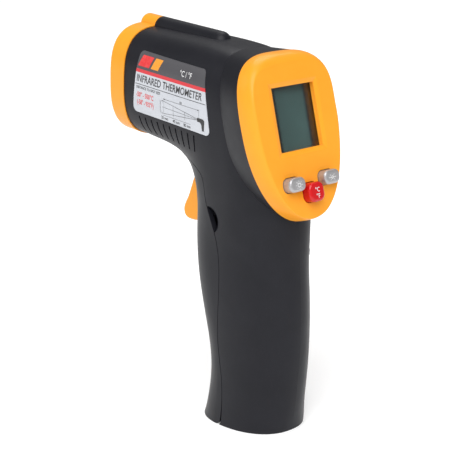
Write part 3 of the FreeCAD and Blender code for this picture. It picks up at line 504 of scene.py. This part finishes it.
def slice_up(made, pitch):
    """Cut a flat print into narrow strips, so that it can follow a curved face."""
    heights = [corner.co.y for corner in made.data.vertices]
    cuts = math.ceil((max(heights) - min(heights)) / pitch)
    home = made.matrix_world.copy()
    across = (home.to_3x3() @ Vector((0.0, 1.0, 0.0))).normalized()
    bpy.ops.object.mode_set(mode="EDIT")
    for step in range(1, cuts):
        spot = home @ Vector((0.0, min(heights) + step * pitch, 0.0))
        bpy.ops.mesh.select_all(action="SELECT")
        bpy.ops.mesh.bisect(plane_co=spot, plane_no=across)
    bpy.ops.mesh.select_all(action="SELECT")
    bpy.ops.mesh.quads_convert_to_tris()
    bpy.ops.object.mode_set(mode="OBJECT")


def print_on(name, marks, node, ink, body):
    """Join marks, lay them on a node's surface and let them ride on its body."""
    bpy.ops.object.select_all(action="DESELECT")
    for mark in marks:
        mark.select_set(True)
    bpy.context.view_layer.objects.active = marks[0]
    bpy.ops.object.join()
    made = bpy.context.object
    made.name = name
    made.data.name = name
    slice_up(made, 0.5)
    lay = made.modifiers.new("lay", "SHRINKWRAP")
    lay.wrap_method = "PROJECT"
    lay.target = NODES[node]
    lay.use_project_z = True
    lay.use_negative_direction = True
    lay.use_positive_direction = False
    lay.offset = INK_LIFT
    bpy.ops.object.modifier_apply(modifier=lay.name)
    bpy.ops.object.transform_apply(location=True, rotation=True, scale=True)
    made.data.materials.clear()
    made.data.materials.append(ink)
    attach(made, body)


def print_label(black, red, white, amber):
    """Artwork of the specification label: title, ranges and spot-size diagram."""
    home = LABEL_SIDE @ Matrix.Translation((0.0, 0.0, 40.0))
    dark = [
        lettering("INFRARED THERMOMETER", 3.0, -43.4, 116.9, home, 0.82, 0.05, 0.12),
        bar(-22.2, 115.85, 43.6, 0.22, home),
        lettering("DISTANCE TO SPOT SIZE", 1.05, -43.4, 114.1, home, 0.95, 0.02),
        lettering("20 mm", 1.25, -27.5, 104.6, home, 0.9, 0.02),
        lettering("40 mm", 1.25, -20.2, 104.6, home, 0.9, 0.02),
        lettering("80 mm", 1.25, -13.4, 104.6, home, 0.9, 0.02),
        lettering("8:1", 1.0, -15.6, 113.1, home, 0.9, 0.02),
    ]
    cone = [
        ((-26.6, 112.2), (-4.6, 109.4), 0.14),
        ((-26.6, 107.0), (-4.6, 109.0), 0.14),
        ((-26.6, 109.6), (-4.6, 109.2), 0.10),
        ((-25.6, 112.9), (-4.0, 112.9), 0.12),
        ((-25.6, 112.5), (-25.6, 113.3), 0.12),
        ((-4.0, 109.4), (-4.0, 113.3), 0.10),
        ((-27.8, 106.9), (-27.8, 112.3), 0.10),
        ((-19.6, 106.4), (-19.6, 111.3), 0.10),
        ((-12.4, 107.3), (-12.4, 110.4), 0.10),
        ((-26.2, 106.3), (-9.0, 106.3), 0.10),
    ]
    dark += [line(start, end, width, home) for start, end, width in cone]
    dark += [ring(-26.6, 109.6, 2.6, 0.12, home, 0.42)]
    gun = [(-4.9, 109.9), (-1.6, 109.9), (-0.7, 109.3), (-0.9, 105.2), (-2.1, 105.2),
           (-2.5, 107.6), (-3.2, 108.3), (-4.9, 108.4)]
    arrow = [(-25.6, 112.9), (-24.8, 113.2), (-24.8, 112.6)]
    back_arrow = [(-4.0, 112.9), (-4.8, 112.6), (-4.8, 113.2)]
    dark += [outline(shape, home) for shape in (gun, arrow, back_arrow)]
    print_on("label_black_print", dark, "spec_label", black, "root")
    figures = [
        lettering("-50° - 500°C", 2.0, -43.4, 110.7, home, 0.78, 0.04),
        lettering("(-58° - 932°F)", 2.0, -43.0, 107.6, home, 0.70, 0.04),
    ]
    print_on("label_red_print", figures, "spec_label", red, "root")
    block = [(-42.9, 123.2), (-35.9, 123.2), (-33.6, 127.7), (-40.6, 127.7)]
    print_on("label_red_block", [outline(block, home)], "spec_label", red, "root")
    flag = [(-34.6, 123.2), (-30.0, 123.2), (-27.7, 127.7), (-32.3, 127.7)]
    print_on("label_amber_block", [outline(flag, home)], "spec_label", amber, "root")
    units = [lettering("°C / °F", 2.3, -16.6, 123.9, home, 0.8, 0.015)]
    print_on("label_units", units, "spec_label", white, "root")


def key_centre(node):
    """Middle of a key across and up the rear face, in millimetres."""
    low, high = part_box(node)
    middle = KEY_SIDE.inverted() @ ((low + high) / 2)
    return middle.x, middle.y


def print_keys(white):
    """White marks on the three keys: lamp, beam and units."""
    home = KEY_SIDE @ Matrix.Translation((0.0, 0.0, 12.0))
    x, y = key_centre("light_button")
    lamp = [ring(x, y, 0.85, 0.3, home)]
    for step in range(8):
        angle = step * math.pi / 4
        way = Vector((math.cos(angle), math.sin(angle)))
        start = Vector((x, y)) + way * 1.15
        end = Vector((x, y)) + way * 1.7
        lamp.append(line(start, end, 0.24, home))
    print_on("light_key_mark", lamp, "light_button", white, "light_button")
    x, y = key_centre("laser_button")
    beam = [line((x - 1.9, y), (x + 1.9, y), 0.26, home), ring(x, y, 0.62, 0.24, home)]
    for step in (1, 3, 5, 7):
        way = Vector((math.cos(step * math.pi / 4), math.sin(step * math.pi / 4)))
        beam.append(line(Vector((x, y)) + way * 0.9, Vector((x, y)) + way * 1.6, 0.22, home))
    print_on("laser_key_mark", beam, "laser_button", white, "laser_button")
    x, y = key_centre("mode_button")
    units = [
        lettering("°C", 1.7, x, y + 0.25, home, 0.9, 0.02, align="CENTER"),
        lettering("°F", 1.7, x, y - 2.1, home, 0.9, 0.02, align="CENTER"),
    ]
    print_on("mode_key_mark", units, "mode_button", white, "mode_button")


# ------------------------------------------------------------- slot's ribs
RIB_ASIDE = 6.9     # millimetres, as drawn: middle of a rib from the middle plane
RIB_MIDDLE = 63.3   # its mid height
RIB_TALL = 9.6
RIB_REAR = 9.0      # its rear edge
RIB_BITE = 1.2      # how far it starts inside the door's skin
AHEAD = -60.0       # a place in front of the grip


def slot_rib(side):
    """Flat rib beside the trigger slot, from the door's skin back into the grip."""
    bpy.ops.object.select_all(action="DESELECT")
    bpy.ops.mesh.primitive_grid_add(x_subdivisions=6, y_subdivisions=12, size=1.0)
    rib = bpy.context.object
    way = (STAND.to_3x3() @ Vector((1.0, 0.0, 0.0))).normalized()
    for corner in rib.data.vertices:
        height = RIB_MIDDLE + corner.co.y * RIB_TALL
        start = STAND @ Vector((AHEAD, side * RIB_ASIDE, height))
        spot = NODES["battery_door"].ray_cast(start, way)[1]
        front = (STAND.inverted() @ spot).x + RIB_BITE
        depth = (RIB_REAR - front) * (corner.co.x + 0.5)
        corner.co = STAND @ Vector((front + depth, side * RIB_ASIDE, height))
    only(rib)
    wall = rib.modifiers.new("wall", "SOLIDIFY")
    wall.thickness = 0.0009
    wall.offset = 0.0
    bpy.ops.object.modifier_apply(modifier=wall.name)
    edges = rib.modifiers.new("edges", "BEVEL")
    edges.width = 0.0002
    edges.segments = 2
    bpy.ops.object.modifier_apply(modifier=edges.name)
    return rib


def make_slot_ribs(finish):
    """Pair of ribs that guide the trigger and close the view through the grip."""
    ribs = [slot_rib(side) for side in (-1, 1)]
    only(ribs[0])
    ribs[1].select_set(True)
    bpy.ops.object.join()
    made = bpy.context.object
    made.name = "trigger_slot_ribs"
    made.data.name = "trigger_slot_ribs"
    made.data.materials.append(finish)
    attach(made, "battery_door")


# ------------------------------------------------------------------- studio
def make_floor():
    bpy.ops.object.select_all(action="DESELECT")
    bpy.ops.mesh.primitive_plane_add(size=12.0, location=(0.0, 0.0, 0.0))
    floor = bpy.context.object
    floor.name = "studio_floor"
    made, tree, shader = start_material("studio paper", 0.9)
    tone = place_group(tree, HANDLING, Patches_per_metre=2.0)
    colour = mix_colours(tree, tone.outputs["Value"], (0.96, 0.96, 0.96), (0.97, 0.97, 0.97))
    shader.inputs["Emission Color"].default_value = (1.0, 1.0, 1.0, 1.0)
    shader.inputs["Emission Strength"].default_value = 0.14
    tree.links.new(colour, shader.inputs["Base Color"])
    shader.inputs["Specular IOR Level"].default_value = 0.1
    floor.data.materials.append(made)


def soft_light(name, place, target, width, power):
    """Square soft light that looks at a target."""
    lamp = bpy.data.lights.new(name, "AREA")
    lamp.shape = "SQUARE"
    lamp.size = width
    lamp.energy = power
    made = bpy.data.objects.new(name, lamp)
    made.location = place
    way = Vector(target) - Vector(place)
    made.rotation_mode = "QUATERNION"
    made.rotation_quaternion = way.to_track_quat("-Z", "Y")
    bpy.context.scene.collection.objects.link(made)


def broad_sun(name, way, power, spread):
    """Distant soft light that comes from the given way."""
    lamp = bpy.data.lights.new(name, "SUN")
    lamp.energy = power
    lamp.angle = math.radians(spread)
    made = bpy.data.objects.new(name, lamp)
    made.rotation_mode = "QUATERNION"
    made.rotation_quaternion = Vector(way).to_track_quat("Z", "Y")
    bpy.context.scene.collection.objects.link(made)


def make_room():
    """Even room light, with pale walls behind the object."""
    world = bpy.data.worlds.new("studio")
    world.use_nodes = True
    tree = world.node_tree
    room = tree.nodes["Background"]
    room.inputs["Color"].default_value = (1.0, 1.0, 1.0, 1.0)
    room.inputs["Strength"].default_value = 0.24
    walls = add_node(tree, "ShaderNodeBackground", Strength=1.0)
    walls.inputs["Color"].default_value = (1.0, 1.0, 1.0, 1.0)
    rays = add_node(tree, "ShaderNodeLightPath")
    choose = add_node(tree, "ShaderNodeMixShader")
    tree.links.new(rays.outputs["Is Camera Ray"], choose.inputs[0])
    tree.links.new(room.outputs[0], choose.inputs[1])
    tree.links.new(walls.outputs[0], choose.inputs[2])
    tree.links.new(choose.outputs[0], tree.nodes["World Output"].inputs[0])
    bpy.context.scene.world = world


def make_lights():
    middle = (0.0, 0.0, 0.08)
    broad_sun("window light", (0.50, -0.50, 0.72), 3.25, 60.0)
    soft_light("side light", (-0.9, -1.2, 0.9), middle, 0.7, 1.6)
    soft_light("top light", (-0.4, 0.5, 1.3), middle, 0.8, 6.0)
    make_room()
    bpy.context.scene.view_settings.view_transform = "Standard"


def make_camera():
    """Camera behind the rear face, to the left and a little above."""
    azimuth = math.radians(48.565)
    elevation = math.radians(19.598)
    roll = math.radians(2.0)
    away, aside, above = 517.95, -3.8, 60.05  # millimetres from the drawing's origin
    back = Vector((math.sin(azimuth) * math.cos(elevation),
                   -math.cos(azimuth) * math.cos(elevation), math.sin(elevation)))
    level = Vector((math.cos(azimuth), math.sin(azimuth), 0.0))
    steep = back.cross(level)
    right = level * math.cos(roll) + steep * math.sin(roll)
    up = steep * math.cos(roll) - level * math.sin(roll)
    place = right * aside + up * above + back * away
    made = bpy.data.cameras.new("camera")
    made.sensor_width = 36.0
    made.lens = 99.02
    made.clip_start = 0.01
    made.clip_end = 50.0
    camera = bpy.data.objects.new("camera", made)
    pose = Matrix((right, up, back)).transposed().to_4x4()
    pose.translation = place
    stood = STAND @ pose
    camera.matrix_world = Matrix.LocRotScale(stood.to_translation(), stood.to_quaternion(), None)
    bpy.context.scene.collection.objects.link(camera)
    bpy.context.scene.camera = camera


make_camera()
make_lights()
make_floor()
finishes = make_finishes()
dress_nodes(finishes)
black_ink = printed_ink("black ink", (0.012, 0.012, 0.013), (0.03, 0.03, 0.03))
red_ink = printed_ink("red ink", (0.66, 0.02, 0.025), (0.72, 0.06, 0.06))
white_ink = printed_ink("white ink", (0.80, 0.80, 0.80), (0.72, 0.72, 0.72))
amber_ink = printed_ink("amber ink", (0.85, 0.33, 0.03), (0.80, 0.30, 0.03))
make_slot_ribs(finishes[SLOTS["battery_door"]])
print_label(black_ink, red_ink, white_ink, amber_ink)
print_keys(white_ink)
